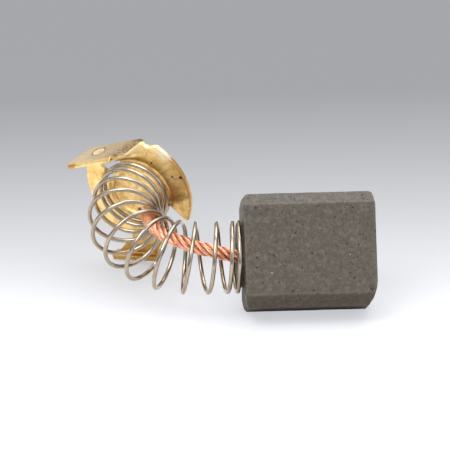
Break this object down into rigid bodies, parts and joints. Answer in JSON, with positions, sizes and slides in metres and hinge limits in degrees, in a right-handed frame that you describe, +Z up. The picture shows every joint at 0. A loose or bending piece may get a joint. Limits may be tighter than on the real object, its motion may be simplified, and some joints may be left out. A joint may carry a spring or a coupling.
{
  "type": "carbon brush",
  "caption": "Graphite motor brush block with a bent coil spring, a copper shunt and a stamped brass terminal plate, lying as it comes to rest.",
  "frame": {"origin": "middle of the footprint, on the table surface", "axes": "+X along the block from its spring end to its contact face, +Z up from the table, +Y away from the viewer's side, toward the terminal"},
  "size_m": [0.0274, 0.0202, 0.0129],
  "materials": {
    "graphite": "matte pressed graphite with fine pits",
    "tamped_powder": "matte",
    "spring_wire": "drawn wire, bright",
    "stamped_brass": "satin, lightly tarnished",
    "weld_metal": "dull",
    "shunt_copper": "bare stranded copper, bright"
  },
  "bodies": {
    "root": {"carbon_block": "graphite", "tamping": "tamped_powder", "spring": "spring_wire", "terminal": "stamped_brass", "weld": "weld_metal", "shunt_core": "shunt_copper", "shunt_strand_1": "shunt_copper", "shunt_strand_2": "shunt_copper", "shunt_strand_3": "shunt_copper", "shunt_strand_4": "shunt_copper", "shunt_strand_5": "shunt_copper", "shunt_strand_6": "shunt_copper"}
  },
  "joints": []
}
